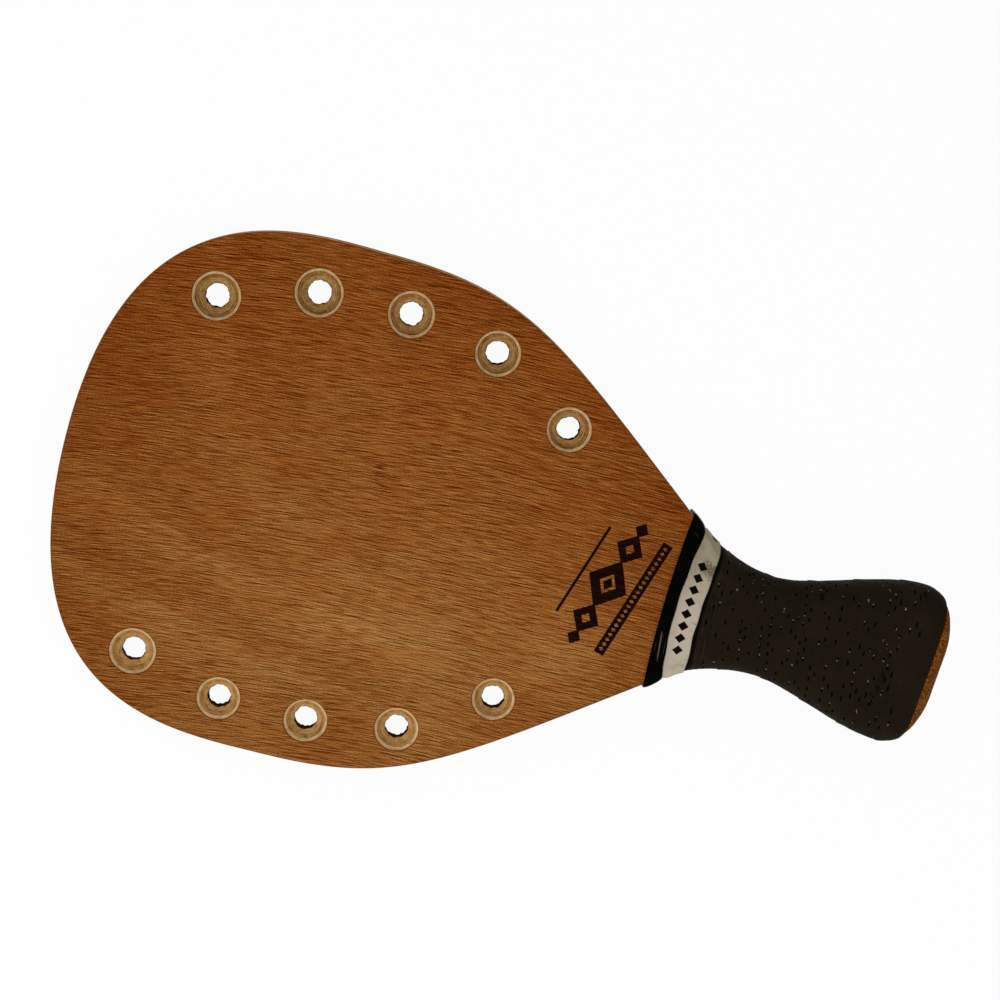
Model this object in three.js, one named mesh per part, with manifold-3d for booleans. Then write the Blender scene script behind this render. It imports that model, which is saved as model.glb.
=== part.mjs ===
// Frescobol racket: a plywood blade with ten countersunk holes, and a handle built up with two cork cheeks,
// wound with a perforated overgrip and closed at the throat by a finishing tape and a collar.
// Lengths are in millimetres. X runs from the tip of the blade to the butt, Y across the blade and
// Z out of its front face. The origin is the centre of the whole racket, in the middle of the plywood.

import * as THREE from 'three';
import { ParametricGeometry } from 'three/addons/geometries/ParametricGeometry.js';
import { mergeVertices } from 'three/addons/utils/BufferGeometryUtils.js';
import Module from 'manifold-3d';

const wasm = await Module();
wasm.setup();

// Plan of the blade and tang, in lengths that follow each other along X
const tipLength = 124.9; // tip to the widest place
const shoulderLength = 181.1; // widest place to the end of the straight flank
const throatLength = 37; // end of the flank to the waist of the handle
const gripLength = 69; // waist to the widest place of the butt
const buttLength = 19; // widest place of the butt to its end
const bladeWidth = 246;
const throatWidth = 66.7;
const waistWidth = 46.2;
const buttWidth = 77;
const flankAngle = THREE.MathUtils.degToRad(37.1); // between the straight flank and X
const flankLength = 50;
const handleLean = 1; // how far the handle lies off the blade's axis, towards -Y, as shaped by hand
const buttSkew = THREE.MathUtils.degToRad(1.7); // how far the butt's end is out of square

// Plywood, from the face inwards
const veneerThickness = 0.5;
const crossPlyThickness = 1.2;
const innerPlyThickness = 1.8;
const corePlyThickness = 6;
const rimRadius = 1.2; // rounding of the blade's edges

// Lightening holes, drilled through and countersunk from both faces
const boreDiameter = 11;
const countersinkDiameter = 22.2;
const backCountersinkShare = 0.75; // size of a countersink on the back, as a share of the front one
const countersinkAngle = THREE.MathUtils.degToRad(45); // between the cone and the face

// Cork cheeks glued to both faces of the tang
const cheekLead = 12; // from the cheeks' feathered front end to the end of the flank
const cheekLip = 0.3; // height of that end
const cheekRamp = 24; // length over which a cheek rises to its full height
const cheekHeight = 7;
const buttSwell = 1.4; // what a cheek gains in height towards the butt
const gripRadius = 12.5; // rounding of the handle's long corners
const domeLength = 8; // rounded end of the butt

// Wrappings. Their edges bend: places are in the middle of the face, and sweeps say how far the sides lie behind
const wrapClearance = 0.35; // between a wrapping and what lies under or beside it
const overgripThickness = 1;
const overgripLead = 6; // from its front edge to the end of the flank
const overgripEndSweep = 1;
const bareButt = 8.6; // cork left bare behind the overgrip
const tapeThickness = 0.4;
const tapeWidth = 10.6;
const tapeEndSweep = 2;
const collarThickness = 1.9;
const collarLead = 14.2; // from its front edge to the end of the flank
const collarStartSweep = 1.7;
const collarWidth = 5.4;
const collarEndSweep = 3.3;

// Fineness of the curves, in counts
const edgeSteps = { tip: 16, shoulder: 12, flank: 1, throat: 6, grip: 10, butt: 12 };
const widthSteps = 60;
const holeSteps = 20;
const rimSteps = 3;
const cornerSteps = 5;
const flatSteps = 4;
const rampSteps = 8;
const bandSteps = 4;

const cutSpare = 5; // how far cutting tools run past what they cut

// Where each curve of the edge aims, as shares of the lengths and half widths that it joins
const edgeShares = {
  tipRise: 1.059,
  tipReach: 0.338,
  shoulderLead: 0.407,
  shoulderReturn: 0.555,
  throatLead: 0.04,
  throatReturn: 0.53,
  gripLead: 0.255,
  gripReturn: 0.29,
  buttReach: 0.9,
  buttRise: 0.46,
};

// Each hole's place along the blade as a share of tip to throat, across it as a share of half the width there,
// and the size of its countersink, because the holes are drilled by hand
const holeShares = [
  { along: 0.168, across: 0.742, countersink: 1.05 },
  { along: 0.315, across: 0.794, countersink: 1.05 },
  { along: 0.457, across: 0.808, countersink: 1.015 },
  { along: 0.599, across: 0.802, countersink: 1 },
  { along: 0.7355, across: 0.7155, countersink: 0.99 },
  { along: 0.177, across: -0.783, countersink: 1.025 },
  { along: 0.323, across: -0.825, countersink: 0.965 },
  { along: 0.4625, across: -0.828, countersink: 0.975 },
  { along: 0.6035, across: -0.825, countersink: 0.985 },
  { along: 0.7375, across: -0.736, countersink: 0.96 },
];
const endRoundShare = 0.96; // most of a section's half height that its corners may take

// Sizes that follow from the ones above
const tipToThroat = tipLength + shoulderLength;
const tipToWaist = tipToThroat + throatLength;
const tipToButt = tipToWaist + gripLength;
const overallLength = tipToButt + buttLength;
const bladeThickness = 2 * (veneerThickness + crossPlyThickness + innerPlyThickness) + corePlyThickness;
const halfBlade = bladeWidth / 2;
const halfThroat = throatWidth / 2;
const halfWaist = waistWidth / 2;
const halfButt = buttWidth / 2;
const cheekStart = tipToThroat - cheekLead;
const collarStart = tipToThroat - collarLead;
const overgripStart = tipToThroat - overgripLead;
const overgripEnd = overallLength - bareButt;
const tapeStart = collarStart + collarWidth + wrapClearance;
const tapeInner = overgripThickness + 2 * wrapClearance;
const outerPlies = [veneerThickness, crossPlyThickness, innerPlyThickness];
const plyThicknesses = [...outerPlies, corePlyThickness, ...[...outerPlies].reverse()];
const plyHeights = plyThicknesses.reduce((all, t) => [...all, all[all.length - 1] + t], [-bladeThickness / 2]);

// One side of the racket's plan, from the tip to the middle of the butt
function edgeCurves() {
  const point = (x, y) => new THREE.Vector2(x, y);
  const flank = point(Math.cos(flankAngle), -Math.sin(flankAngle));
  const tip = point(0, 0);
  const widest = point(tipLength, halfBlade);
  const flankEnd = point(tipToThroat, halfThroat);
  const flankStart = flankEnd.clone().addScaledVector(flank, -flankLength);
  const waist = point(tipToWaist, halfWaist);
  const butt = point(tipToButt, halfButt);
  const end = point(overallLength, 0);
  const shoulder = flankStart.x - tipLength;
  const s = edgeShares;
  return {
    tip: new THREE.CubicBezierCurve(
      tip,
      point(0, s.tipRise * halfBlade),
      point(tipLength * (1 - s.tipReach), halfBlade),
      widest,
    ),
    shoulder: new THREE.CubicBezierCurve(
      widest,
      point(tipLength + s.shoulderLead * shoulder, halfBlade),
      flankStart.clone().addScaledVector(flank, -s.shoulderReturn * shoulder),
      flankStart,
    ),
    flank: new THREE.LineCurve(flankStart, flankEnd),
    throat: new THREE.CubicBezierCurve(
      flankEnd,
      flankEnd.clone().addScaledVector(flank, s.throatLead * throatLength),
      point(tipToWaist - s.throatReturn * throatLength, halfWaist),
      waist,
    ),
    grip: new THREE.CubicBezierCurve(
      waist,
      point(tipToWaist + s.gripLead * gripLength, halfWaist),
      point(tipToButt - s.gripReturn * gripLength, halfButt),
      butt,
    ),
    butt: new THREE.CubicBezierCurve(
      butt,
      point(tipToButt + s.buttReach * buttLength, halfButt),
      point(overallLength, s.buttRise * halfButt),
      end,
    ),
  };
}

const edge = edgeCurves();

function edgePoints(names, stepsOf) {
  return names.flatMap((name, i) => edge[name].getPoints(stepsOf(name)).slice(i ? 1 : 0));
}

const fineEdge = edgePoints(['tip', 'shoulder', 'flank', 'throat', 'grip', 'butt'], () => widthSteps);

function evenPlaces(start, length, steps) {
  return Array.from({ length: steps + 1 }, (_, i) => start + (length * i) / steps);
}

// Places along the handle where its section is drawn
const rampPlaces = evenPlaces(cheekStart, cheekRamp, rampSteps);
const gripPlaces = edgePoints(['throat', 'grip', 'butt'], (name) => edgeSteps[name]).map((p) => p.x);
const stations = [...rampPlaces, ...gripPlaces.filter((x) => x > cheekStart + cheekRamp && x < overallLength)];

// Half width of the blade and of the bare handle at a distance from the tip
function halfWidthAt(x) {
  const next = Math.max(1, fineEdge.findIndex((p) => p.x >= x));
  const [a, b] = [fineEdge[next - 1], fineEdge[next]];
  return THREE.MathUtils.mapLinear(x, a.x, b.x, a.y, b.y);
}

// Height of a cheek above the plywood, and ahead of the cheeks that of their front ends
function riseAt(x) {
  const ramp = THREE.MathUtils.smoothstep(x, cheekStart, cheekStart + cheekRamp);
  const swell = THREE.MathUtils.smoothstep(x, tipToWaist, tipToButt);
  return cheekLip + (cheekHeight - cheekLip) * ramp + buttSwell * swell;
}

function halfHeightAt(x) {
  const intoDome = Math.max(0, (x - overallLength + domeLength) / domeLength);
  return (bladeThickness / 2 + riseAt(x)) * Math.sqrt(Math.max(0, 1 - intoDome * intoDome));
}

function cornerRadiusAt(x) {
  const risen = Math.min(1, riseAt(x) / cheekHeight);
  return rimRadius + (gripRadius - rimRadius) * risen;
}

// A rounded rectangle round X: the bare handle's section at x, grown by an offset
function sectionAt(x, offset) {
  const w = halfWidthAt(x) + offset;
  const h = halfHeightAt(x) + offset;
  const r = Math.min(cornerRadiusAt(x) + offset, endRoundShare * w, endRoundShare * h);
  const points = [];
  for (let corner = 0; corner < 4; corner++) {
    const cy = (corner === 0 || corner === 3 ? 1 : -1) * (w - r);
    const cz = (corner < 2 ? 1 : -1) * (h - r);
    for (let i = 0; i <= cornerSteps; i++) {
      const angle = (Math.PI / 2) * (corner + i / cornerSteps);
      points.push(new THREE.Vector3(x, cy + r * Math.cos(angle), cz + r * Math.sin(angle)));
    }
    if (corner % 2 === 0) {
      const from = points[points.length - 1];
      const to = new THREE.Vector3(x, -from.y, from.z);
      for (let i = 1; i < flatSteps; i++) points.push(from.clone().lerp(to, i / flatSteps));
    }
  }
  return points;
}

// A closed surface through rings of equally many points
function skinOf(rings) {
  const steps = rings.length - 1;
  const around = rings[0].length;
  const at = (u, v, target) => target.copy(rings[Math.round(u * steps)][Math.round(v * around) % around]);
  return new ParametricGeometry(at, steps, around);
}

// The shaped handle, plywood and cork together, from the cheeks' front end to the butt
function handleForm() {
  const rings = stations.map((x) => sectionAt(x, 0));
  const pole = (x) => rings[0].map(() => new THREE.Vector3(x, 0, 0));
  return skinOf([pole(overallLength), ...rings.reverse(), pole(cheekStart)]);
}

// How far the rounded rim draws the blade's edge in, at a height above the middle of the board
function rimInsetAt(z) {
  const intoRim = Math.max(0, Math.abs(z) - bladeThickness / 2 + rimRadius);
  return rimRadius - Math.sqrt(Math.max(0, rimRadius * rimRadius - intoRim * intoRim));
}

// The blade's board with its rounded rim, cut square where the cheeks start
function bladeBoard() {
  const side = edgePoints(['tip', 'shoulder', 'flank'], (name) => edgeSteps[name]);
  const outline = [...side, ...side.slice(1).reverse().map((p) => new THREE.Vector2(p.x, -p.y))];
  const inward = outline.map((p, i) => {
    const before = outline[(i || outline.length) - 1];
    const along = outline[(i + 1) % outline.length].clone().sub(before).normalize();
    return new THREE.Vector3(along.y, -along.x, 0);
  });
  const ringAt = (z) =>
    outline.map((p, i) => new THREE.Vector3(p.x, p.y, z).addScaledVector(inward[i], rimInsetAt(z)));
  const rimStart = bladeThickness / 2 - rimRadius;
  const rounds = Array.from({ length: rimSteps }, (_, i) => (Math.PI / 2) * (i / rimSteps));
  const rims = rounds.flatMap((angle) => [1, -1].map((side) => side * (rimStart + rimRadius * Math.sin(angle))));
  const heights = [...plyHeights, ...rims].sort((a, b) => a - b);
  const pole = (z) => outline.map(() => new THREE.Vector3(tipLength, 0, z));
  const board = skinOf([pole(heights[0]), ...heights.map(ringAt), pole(heights[heights.length - 1])]);
  return solidOf(board).intersect(blockBetween([-cutSpare, cheekStart], [-bladeThickness, bladeThickness]));
}

// A block over the racket's full width, between two places along X and two heights
function blockBetween([x0, x1], [z0, z1]) {
  const block = new THREE.BoxGeometry(x1 - x0, bladeWidth + 2 * cutSpare, z1 - z0);
  block.translate((x0 + x1) / 2, 0, (z0 + z1) / 2);
  return solidOf(block);
}

// The double cone that drills a hole and countersinks it from both faces
function holeCutter(hole) {
  const bore = boreDiameter / 2;
  const front = (hole.countersink * countersinkDiameter) / 2;
  const back = front * backCountersinkShare;
  const half = bladeThickness / 2;
  const past = half + cutSpare;
  const depthOf = (mouth) => (mouth - bore) * Math.tan(countersinkAngle);
  const coneAt = (mouth, z) => mouth - (half - z) / Math.tan(countersinkAngle);
  const radiusAt = (z) => Math.max(bore, coneAt(front, z), coneAt(back, -z));
  const turns = [-past, depthOf(back) - half, half - depthOf(front), past];
  const heights = [...plyHeights, ...turns].sort((a, b) => a - b);
  const wall = heights.map((z) => new THREE.Vector2(radiusAt(z), z));
  const profile = [new THREE.Vector2(0, -past), ...wall, new THREE.Vector2(0, past)];
  const cutter = new THREE.LatheGeometry(profile, holeSteps);
  cutter.rotateX(Math.PI / 2);
  const x = hole.along * tipToThroat;
  cutter.translate(x, hole.across * halfWidthAt(x), 0);
  return solidOf(cutter);
}

// A wrapping round the handle: rings inside from the front edge to the back one, then back along the outside
function wrapping({ places, startSweep, endSweep, inner, thickness }) {
  const [start, end] = [places[0], places[places.length - 1]];
  const ringAt = (middle, offset) => {
    const sweep = THREE.MathUtils.mapLinear(middle, start, end, startSweep, endSweep);
    const straight = sectionAt(middle, offset);
    const halfWidth = halfWidthAt(middle) + offset;
    return straight.map((p, i) => {
      const aside = p.y / halfWidth;
      return sectionAt(middle + sweep * aside * aside, offset)[i];
    });
  };
  const inside = places.map((place) => ringAt(place, inner));
  const outside = places.map((place) => ringAt(place, inner + thickness)).reverse();
  return skinOf([...outside, ...inside, outside[0]]);
}

function solidOf(geometry) {
  const bare = geometry.clone();
  bare.deleteAttribute('normal');
  bare.deleteAttribute('uv');
  const merged = mergeVertices(bare);
  return new wasm.Manifold(
    new wasm.Mesh({
      numProp: 3,
      vertProperties: merged.attributes.position.array,
      triVerts: new Uint32Array(merged.index.array),
    }),
  );
}

function geometryOf(solid) {
  const mesh = solid.getMesh();
  const shared = new THREE.BufferGeometry();
  shared.setAttribute('position', new THREE.BufferAttribute(mesh.vertProperties, 3));
  shared.setIndex(new THREE.BufferAttribute(mesh.triVerts, 1));
  const faceted = shared.toNonIndexed();
  faceted.computeVertexNormals();
  return faceted;
}

// Moves the straight handle to its place beside the blade's axis, and its end out of square
function leaning(geometry) {
  const place = geometry.attributes.position;
  for (let i = 0; i < place.count; i++) {
    const [x, y] = [place.getX(i), place.getY(i)];
    const lean = THREE.MathUtils.smoothstep(x, tipToThroat, tipToWaist);
    const skew = THREE.MathUtils.smoothstep(x, tipToWaist, overallLength);
    place.setXY(i, x + y * Math.tan(buttSkew) * skew, y - handleLean * lean);
  }
  return geometry;
}

function finish(color, roughness) {
  return new THREE.MeshStandardMaterial({ color, roughness, metalness: 0 });
}

const faceVeneer = () => finish(0x8b4e24, 0.5);
const crossPly = () => finish(0xc3a47c, 0.7);
const innerPly = () => finish(0x7d5932, 0.75);
const corePly = () => finish(0xa67e4c, 0.75);
const cork = () => finish(0x8e4e1e, 0.85);
const perforatedGrip = () => finish(0x1f1a13, 0.75);
const paleTape = () => finish(0xa79d89, 0.5);
const glossyRubber = () => finish(0x0b0a09, 0.15);

function meshOf(name, geometry, material) {
  const mesh = new THREE.Mesh(leaning(geometry), material);
  mesh.name = name;
  return mesh;
}

// The seven plies, from the back face to the front one
const layup = [
  { name: 'back_veneer', material: faceVeneer },
  { name: 'back_cross_ply', material: crossPly },
  { name: 'back_inner_ply', material: innerPly },
  { name: 'core_ply', material: corePly },
  { name: 'front_inner_ply', material: innerPly },
  { name: 'front_cross_ply', material: crossPly },
  { name: 'front_veneer', material: faceVeneer },
];

function blade(form) {
  const group = new THREE.Group();
  const drilled = holeShares.reduce((board, hole) => board.subtract(holeCutter(hole)), bladeBoard().add(form));
  layup.forEach(({ name, material }, i) => {
    const slice = blockBetween([-cutSpare, overallLength + cutSpare], [plyHeights[i], plyHeights[i + 1]]);
    group.add(meshOf(name, geometryOf(drilled.intersect(slice)), material()));
  });
  return group;
}

function handle(form) {
  const group = new THREE.Group();
  const face = bladeThickness / 2;
  const past = face + cheekHeight + buttSwell + cutSpare;
  const above = blockBetween([0, overallLength + cutSpare], [face, past]);
  const below = blockBetween([0, overallLength + cutSpare], [-past, -face]);
  group.add(meshOf('front_cork_cheek', geometryOf(form.intersect(above)), cork()));
  group.add(meshOf('back_cork_cheek', geometryOf(form.intersect(below)), cork()));
  const underGrip = stations.filter((x) => x > overgripStart && x < overgripEnd);
  const overgrip = wrapping({
    places: [overgripStart, ...underGrip, overgripEnd],
    startSweep: collarEndSweep,
    endSweep: overgripEndSweep,
    inner: wrapClearance,
    thickness: overgripThickness,
  });
  const tape = wrapping({
    places: evenPlaces(tapeStart, tapeWidth, bandSteps),
    startSweep: collarEndSweep,
    endSweep: tapeEndSweep,
    inner: tapeInner,
    thickness: tapeThickness,
  });
  const collar = wrapping({
    places: evenPlaces(collarStart, collarWidth, bandSteps),
    startSweep: collarStartSweep,
    endSweep: collarEndSweep,
    inner: wrapClearance,
    thickness: collarThickness,
  });
  group.add(meshOf('overgrip', overgrip, perforatedGrip()));
  group.add(meshOf('finishing_tape', tape, paleTape()));
  group.add(meshOf('throat_collar', collar, glossyRubber()));
  return group;
}

const form = solidOf(handleForm());
const racket = new THREE.Group();
racket.add(blade(form), handle(form));
racket.position.x = -new THREE.Box3().setFromObject(racket).getCenter(new THREE.Vector3()).x;

export default racket;
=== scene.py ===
import math

import bmesh
import bpy
import numpy as np
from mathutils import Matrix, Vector, noise


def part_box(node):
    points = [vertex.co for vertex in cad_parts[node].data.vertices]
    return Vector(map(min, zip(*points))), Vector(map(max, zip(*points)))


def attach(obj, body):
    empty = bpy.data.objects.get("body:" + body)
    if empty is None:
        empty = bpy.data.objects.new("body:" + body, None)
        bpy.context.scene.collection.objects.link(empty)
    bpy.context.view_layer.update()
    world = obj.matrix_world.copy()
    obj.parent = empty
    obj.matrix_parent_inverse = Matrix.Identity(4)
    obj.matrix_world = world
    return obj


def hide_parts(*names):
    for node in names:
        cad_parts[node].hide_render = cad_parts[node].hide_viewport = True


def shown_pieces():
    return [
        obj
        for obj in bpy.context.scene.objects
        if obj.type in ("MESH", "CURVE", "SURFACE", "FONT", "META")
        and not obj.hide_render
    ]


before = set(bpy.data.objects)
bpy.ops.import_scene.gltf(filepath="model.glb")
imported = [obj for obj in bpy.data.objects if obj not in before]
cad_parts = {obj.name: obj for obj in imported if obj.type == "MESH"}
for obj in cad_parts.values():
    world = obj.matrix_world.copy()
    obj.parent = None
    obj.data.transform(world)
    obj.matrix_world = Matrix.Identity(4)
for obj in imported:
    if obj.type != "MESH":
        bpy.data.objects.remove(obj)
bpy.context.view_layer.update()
mm = 0.001
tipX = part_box("core_ply")[0].x / mm  # the tip of the blade; lengths below run from it, in millimetres
print("frame loaded")


# Plan of the racket

plan = {
    "tipLength": 124.9,  # tip to the widest place
    "shoulderLength": 181.1,  # widest place to the end of the straight flank
    "throatLength": 37,  # end of the flank to the waist of the handle
    "gripLength": 69,  # waist to the widest place of the butt
    "buttLength": 19,
    "bladeWidth": 246,
    "throatWidth": 66.7,
    "waistWidth": 46.2,
    "buttWidth": 77,
    "flankAngle": 37.1,  # of the straight flank against the axis, in degrees
    "flankLength": 50,
    "handleLean": 1,  # how far the handle lies off the blade's axis
    "buttSkew": 1.7,  # how far its end is out of square, in degrees
    "tipRise": 1.059,  # the rest are shares that say where the curves aim
    "tipReach": 0.338,
    "shoulderLead": 0.407,
    "shoulderReturn": 0.555,
    "throatLead": 0.04,
    "throatReturn": 0.53,
    "gripLead": 0.255,
    "gripReturn": 0.29,
    "buttReach": 0.9,
    "buttRise": 0.46,
}
throatX = plan["tipLength"] + plan["shoulderLength"]
waistX = throatX + plan["throatLength"]
buttX = waistX + plan["gripLength"]
endX = buttX + plan["buttLength"]


def bezier(points, steps):
    t = np.linspace(0, 1, steps + 1)[:, None]
    a, b, c, d = (np.array(p, float) for p in points)
    return a * (1 - t) ** 3 + 3 * b * t * (1 - t) ** 2 + 3 * c * t**2 * (1 - t) + d * t**3


def edgeOf(p):  # one side of the racket's plan, as named curves
    widths = ("bladeWidth", "throatWidth", "waistWidth", "buttWidth")
    halfBlade, halfThroat, halfWaist, halfButt = (p[name] / 2 for name in widths)
    tip, angle = p["tipLength"], math.radians(p["flankAngle"])
    along = np.array((math.cos(angle), -math.sin(angle)))
    widest = (tip, halfBlade)
    flankEnd = np.array((throatX, halfThroat))
    flankStart = flankEnd - along * p["flankLength"]
    third = along * p["flankLength"] / 3
    shoulder = flankStart[0] - tip
    return {
        "tip": ((0, 0), (0, p["tipRise"] * halfBlade), (tip * (1 - p["tipReach"]), halfBlade), widest),
        "shoulder": (widest, (tip + p["shoulderLead"] * shoulder, halfBlade),
                     flankStart - along * p["shoulderReturn"] * shoulder, flankStart),
        "flank": (flankStart, flankStart + third, flankEnd - third, flankEnd),
        "throat": (flankEnd, flankEnd + along * p["throatLead"] * p["throatLength"],
                   (waistX - p["throatReturn"] * p["throatLength"], halfWaist), (waistX, halfWaist)),
        "grip": ((waistX, halfWaist), (waistX + p["gripLead"] * p["gripLength"], halfWaist),
                 (buttX - p["gripReturn"] * p["gripLength"], halfButt), (buttX, halfButt)),
        "butt": ((buttX, halfButt), (buttX + p["buttReach"] * p["buttLength"], halfButt),
                 (endX, p["buttRise"] * halfButt), (endX, 0)),
    }


curves = edgeOf(plan)


def edgePoints(steps):  # steps has the number of pieces for each curve
    parts = [bezier(curves[name], count) for name, count in steps.items()]
    return np.vstack([parts[0]] + [part[1:] for part in parts[1:]])


fineEdge = edgePoints({name: 200 for name in curves})

build = {
    "veneer": 0.5,
    "crossPly": 1.2,
    "innerPly": 1.8,
    "corePly": 6,
    "rimRadius": 1.2,  # rounding of the blade's rim
    "cheekLead": 12,  # from the cheeks' front end to the end of the flank
    "cheekLip": 0.3,  # height of that front end
    "cheekRamp": 24,  # length over which the cheeks rise from it
    "cheekHeight": 7,
    "buttSwell": 1.4,  # what they rise again between the waist and the butt
    "gripRadius": 12.5,  # rounding of the handle's section
    "domeLength": 8,
    "roundShare": 0.96,  # most of a section's half height that its corners may take
    "sharpAngle": 24,  # edges of the plies that stay sharp, in degrees
}
halfBoard = build["veneer"] + build["crossPly"] + build["innerPly"] + build["corePly"] / 2
cheekX = throatX - build["cheekLead"]
domeX = endX - build["domeLength"]


def smoothStep(value, low, high):
    t = np.clip((value - low) / (high - low), 0, 1)
    return t * t * (3 - 2 * t)


def halfWidthAt(x):
    return np.interp(x, fineEdge[:, 0], fineEdge[:, 1])


def riseAt(x):  # height of a cork cheek above the plywood
    lip, swell = build["cheekLip"], build["buttSwell"] * smoothStep(x, waistX, buttX)
    ramp = smoothStep(x, cheekX, cheekX + build["cheekRamp"])
    return lip + (build["cheekHeight"] - lip) * ramp + swell


def halfHeightAt(x):
    intoDome = np.clip((x - domeX) / build["domeLength"], 0, 1)
    return (halfBoard + riseAt(x)) * np.sqrt(1 - intoDome**2)


domeHeight = float(halfBoard + riseAt(np.array(endX)))


def sectionAt(x, offset):  # half width, half height and corner radius, grown by an offset
    risen = np.minimum(1, riseAt(x) / build["cheekHeight"])
    radius = build["rimRadius"] + (build["gripRadius"] - build["rimRadius"]) * risen
    width, height = halfWidthAt(x) + offset, halfHeightAt(x) + offset
    limit = build["roundShare"] * np.minimum(width, height)
    return width, height, np.minimum(radius + offset, limit)


def aroundAt(x, turn, offset):  # the point at a share of a turn, from the middle of the handle's back
    width, height, radius = sectionAt(x, offset)
    quarter = np.floor(turn * 4).astype(int) % 4
    part = turn * 4 % 1
    part = np.where(quarter % 2 == 1, 1 - part, part)
    flat, arc, side = width - radius, radius * math.pi / 2, height - radius
    length = part * (flat + arc + side)
    angle = np.clip((length - flat) / radius, 0, math.pi / 2)
    y = np.minimum(length, flat) + radius * np.sin(angle)
    z = height - radius * (1 - np.cos(angle)) - np.maximum(0, length - flat - arc)
    return np.where(quarter < 2, y, -y), np.where((quarter == 0) | (quarter == 3), -z, z)


def turned(x, y, degrees):  # along and across a direction, for numbers and shader values
    c, s = math.cos(math.radians(degrees)), math.sin(math.radians(degrees))
    return x * c + y * s, y * c - x * s


def sweepAt(band, share):
    front, end = band["sweep"]
    return front + (end - front) * share


def wrapPoints(along, turn, offset, sweep):  # places on a wrapping with swept-back edges
    y, _ = aroundAt(along, turn, offset)
    x = along + sweep * (y / (halfWidthAt(along) + offset)) ** 2
    y, z = aroundAt(x, turn, offset)
    return np.stack((x, y, z), 1)


# Making objects

def toMetres(points):  # from the straight racket's millimetres to its place in the frame, handle aside
    x, y, z = np.moveaxis(np.array(points, float), -1, 0)
    lean = plan["handleLean"] * smoothStep(x, throatX, waistX)
    skew = y * math.tan(math.radians(plan["buttSkew"])) * smoothStep(x, waistX, endX)
    return np.stack((x + skew + tipX, y - lean, z), -1) * mm


def link(name, data):
    made = bpy.data.objects.new(name, data)
    bpy.context.scene.collection.objects.link(made)
    return made


def addObject(mesh, material):
    mesh.materials.append(material)
    return link(mesh.name, mesh)


def stand(piece, node):  # the piece rides on the racket and stands for a CAD node
    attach(piece, "root")
    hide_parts(node)
    print(piece.name, len(piece.data.polygons), "faces")


def loftFaces(rings, around):
    faces = []
    for first in range(0, (rings - 1) * around, around):
        for i in range(around):
            j = (i + 1) % around
            faces.append((first + i, first + j, first + around + j, first + around + i))
    return faces


def meshFrom(name, points, faces, sharpAngle=35, **traits):  # traits are numbers on the points
    mesh = bpy.data.meshes.new(name)
    mesh.from_pydata(toMetres(points).tolist(), [], faces)
    for trait, values in traits.items():
        layer = mesh.attributes.new(trait, "FLOAT", "POINT")
        layer.data.foreach_set("value", np.array(values, np.float32))
    shape = bmesh.new()
    shape.from_mesh(mesh)
    bmesh.ops.remove_doubles(shape, verts=shape.verts, dist=0.01 * mm)  # closes the seams
    bmesh.ops.recalc_face_normals(shape, faces=shape.faces)
    shape.to_mesh(mesh)
    shape.free()
    mesh.shade_smooth()
    mesh.set_sharp_from_angle(angle=math.radians(sharpAngle))
    return mesh


# Shader expressions

def paint(red, green, blue):  # a colour as it reads on screen, made linear
    parts = [c / 255 for c in (red, green, blue)]
    return (*[c / 12.92 if c <= 0.04045 else ((c + 0.055) / 1.055) ** 2.4 for c in parts], 1)


def operator(name):
    def maths(self, *others):
        return self.shader.node("Math", {"operation": name}, dict(enumerate((self, *others))))
    return maths


class Wire:  # a shader value: every operator used on it adds a Math node
    def __init__(self, shader, socket):
        self.shader, self.socket = shader, socket

    __add__ = __radd__ = operator("ADD")
    __sub__ = operator("SUBTRACT")
    __mul__ = __rmul__ = operator("MULTIPLY")
    __truediv__ = operator("DIVIDE")
    __pow__ = operator("POWER")
    size = operator("ABSOLUTE")
    least = operator("MINIMUM")
    most = operator("MAXIMUM")
    fraction = operator("FRACT")
    angleTo = operator("ARCTAN2")

    def __rsub__(self, other):
        return self * -1 + other

    def between(self, low, high):  # 0 at low, 1 at high, with soft ends
        inputs = {"Value": self, "From Min": low, "From Max": high}
        return self.shader.node("MapRange", {"interpolation_type": "SMOOTHSTEP"}, inputs)


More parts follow.
